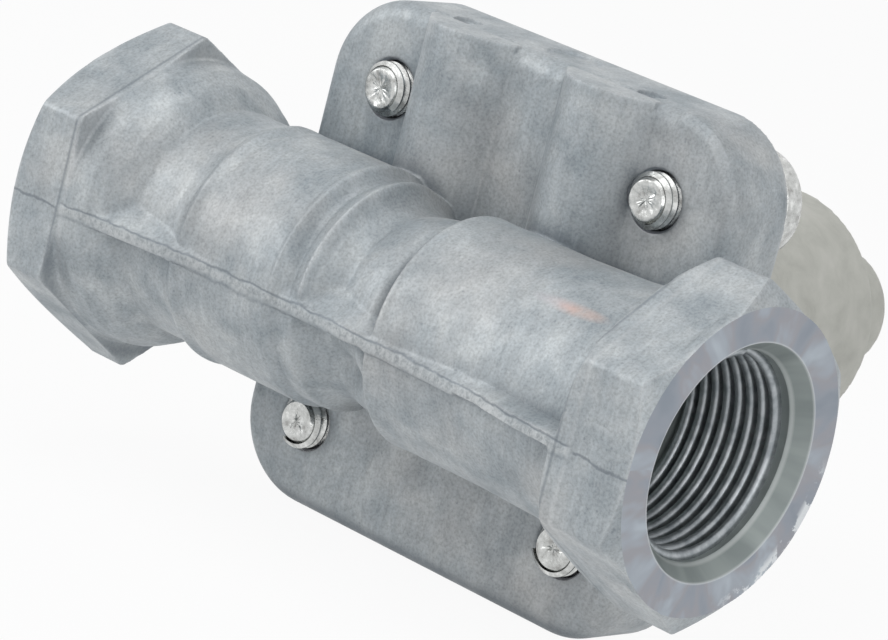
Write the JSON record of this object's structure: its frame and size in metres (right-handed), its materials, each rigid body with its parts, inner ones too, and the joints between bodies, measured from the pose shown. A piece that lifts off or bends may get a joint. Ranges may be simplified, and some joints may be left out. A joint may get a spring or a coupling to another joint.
{
  "type": "overflow valve",
  "caption": "In-line compressed-air overflow valve with two threaded hexagonal ports, a square flange and a spring-loaded diaphragm under a round side bonnet.",
  "frame": {"origin": "centre of the inlet port where its thread starts, on the flow line", "axes": "+X along the flow line towards the outlet port, +Y towards the end of the bonnet, +Z towards the flange side that carries the two columns"},
  "size_m": [0.0875, 0.0915, 0.0564],
  "materials": {
    "cast_body": "as-cast, matte",
    "cast_bonnet": "matte beige grey",
    "plated_steel": "zinc plated",
    "spring_steel": "oiled",
    "turned_brass": "turned",
    "cast_plate": "satin",
    "black_rubber": "matte",
    "plug_plastic": "matte"
  },
  "bodies": {
    "housing": {"valve_body": "cast_body", "bonnet": "cast_bonnet", "diaphragm": "black_rubber", "main_spring": "spring_steel", "end_plug": "plug_plastic", "check_spring": "spring_steel", "check_guide": "turned_brass", "retaining_ring": "spring_steel", "cover_screw_1": "plated_steel", "cover_screw_2": "plated_steel", "cover_screw_3": "plated_steel", "cover_screw_4": "plated_steel", "lock_washer_1": "plated_steel", "lock_washer_2": "plated_steel", "lock_washer_3": "plated_steel", "lock_washer_4": "plated_steel"},
    "piston": {"piston": "cast_plate"},
    "upper_cup": {"spring_cup": "plated_steel"},
    "adjuster": {"adjusting_screw": "plated_steel"},
    "check_valve": {"check_poppet": "turned_brass", "check_seal": "black_rubber"}
  },
  "joints": [
    {"name": "valve_lift", "type": "slide", "parent": "housing", "child": "piston", "axis": [0, 1, 0], "range_m": [0, 0.0025], "stiffness_N_per_m": 4000, "springref_m": -0.01, "deforming": ["main_spring", "diaphragm"]},
    {"name": "check_lift", "type": "slide", "parent": "housing", "child": "check_valve", "axis": [-1, 0, 0], "range_m": [0, 0.003], "stiffness_N_per_m": 150, "springref_m": -0.004, "deforming": ["check_spring"]},
    {"name": "cup_travel", "type": "slide", "parent": "housing", "child": "upper_cup", "axis": [0, 1, 0], "range_m": [0, 0.003]},
    {"name": "adjuster_turn", "type": "hinge", "parent": "upper_cup", "child": "adjuster", "pos_m": [0.0423, 0.0615, 0], "axis": [0, 1, 0], "range_deg": [0, 1080]}
  ],
  "couplings": [
    {"joint": "adjuster_turn", "follows": "cup_travel", "rad_per_m": 6283.2}
  ]
}
